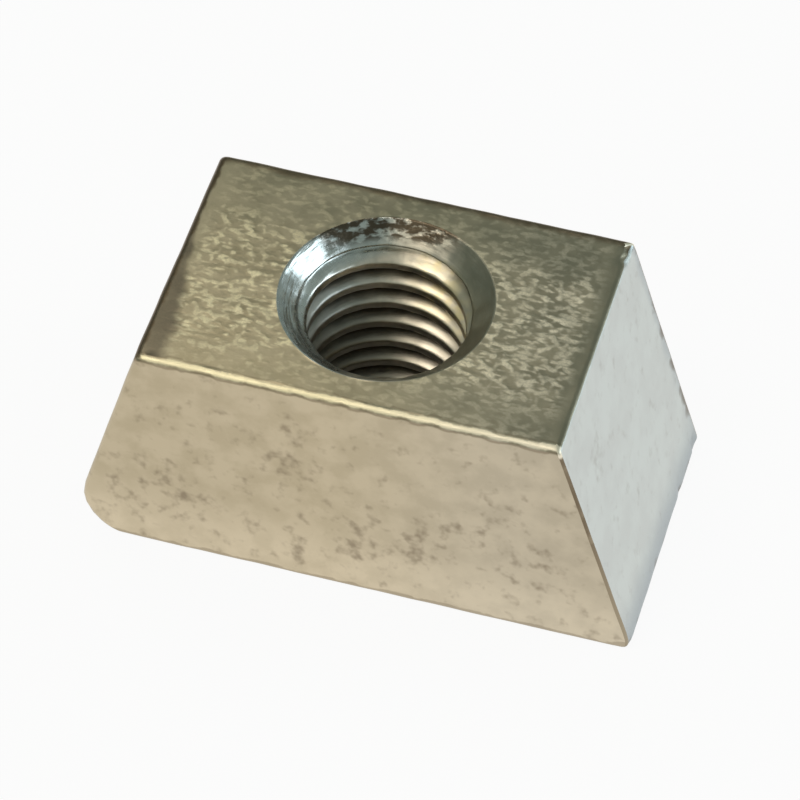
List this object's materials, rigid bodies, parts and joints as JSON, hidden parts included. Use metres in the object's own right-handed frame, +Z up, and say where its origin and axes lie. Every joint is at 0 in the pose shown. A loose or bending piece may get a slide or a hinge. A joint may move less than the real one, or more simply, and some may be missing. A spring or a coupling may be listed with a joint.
{
  "type": "channel nut",
  "caption": "Wedge-ended square bar nut with a countersunk metric threaded hole through its middle, held in a tapered channel by its two slanted ends while a bolt pulls against it.",
  "frame": {"origin": "on the hole's axis, at the middle of the base that the nut rests on", "axes": "+Z up along the hole, from the wide base to the narrow top face; +X along the bar, towards the end with the sharper base edge; +Y towards the back face"},
  "size_m": [0.0242, 0.012, 0.012],
  "materials": {
    "plated_steel": "zinc plated steel with a faint warm passivation, satin on the drawn faces and slightly pitted"
  },
  "bodies": {
    "root": {"channel_nut": "plated_steel"}
  },
  "joints": []
}
